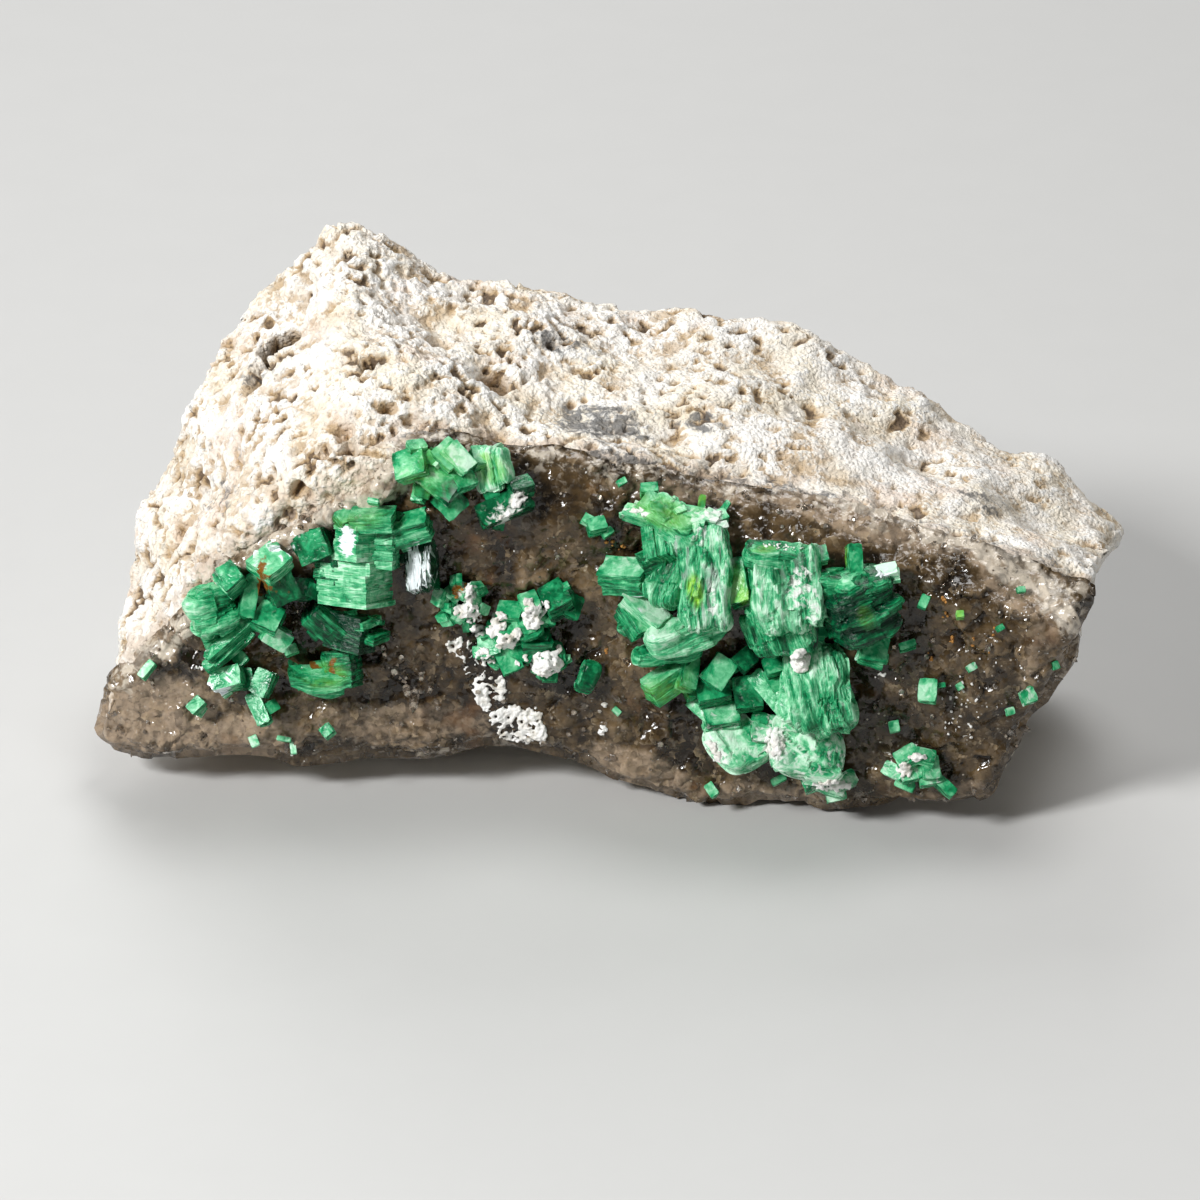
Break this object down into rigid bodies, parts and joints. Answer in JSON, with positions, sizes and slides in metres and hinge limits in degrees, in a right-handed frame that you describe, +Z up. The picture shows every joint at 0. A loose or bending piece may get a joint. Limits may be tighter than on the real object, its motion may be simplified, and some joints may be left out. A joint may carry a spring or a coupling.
{
  "type": "torbernite specimen",
  "caption": "Small mineral specimen: clusters of square green torbernite tablets on a brown smoky quartz crust over porous cream host rock.",
  "frame": {"origin": "middle of the flat patch on the underside that the specimen rests on", "axes": "+X along the quartz face to its right end, +Y from the quartz face back into the rock, +Z up"},
  "size_m": [0.0404, 0.0184, 0.019],
  "materials": {
    "host_rock": "porous, sugary, cream-white with ochre pits",
    "smoky_quartz": "drusy, translucent brown, glittering",
    "torbernite": "vitreous to pearly, emerald green, finely laminated",
    "white_crust": "matt white powder"
  },
  "bodies": {
    "root": {"host_rock": "host_rock", "quartz_crust": "smoky_quartz", "left_fan_cluster": "torbernite", "big_book_cluster": "torbernite", "glassy_prism": "torbernite", "ledge_slab_cluster": "torbernite", "bowl_crystal_cluster": "torbernite", "top_tablet_cluster": "torbernite", "barrel_book": "torbernite", "dark_tablet": "torbernite", "small_rosette": "torbernite", "dusted_cluster": "torbernite", "bead_crystal": "torbernite", "right_cluster": "torbernite", "lower_flakes": "torbernite", "far_left_lath": "torbernite", "left_edge_flake": "torbernite", "foot_diamond_tablet": "torbernite", "upper_middle_flake": "torbernite", "upper_rim_flake": "torbernite", "foot_lath": "torbernite", "foot_ellipse_tablet": "torbernite", "upper_right_lath": "torbernite", "right_square_tablet": "torbernite", "right_small_tablet": "torbernite", "right_strip": "torbernite", "far_right_tablet": "torbernite", "yellow_green_flake": "torbernite", "white_crust": "white_crust"}
  },
  "joints": []
}
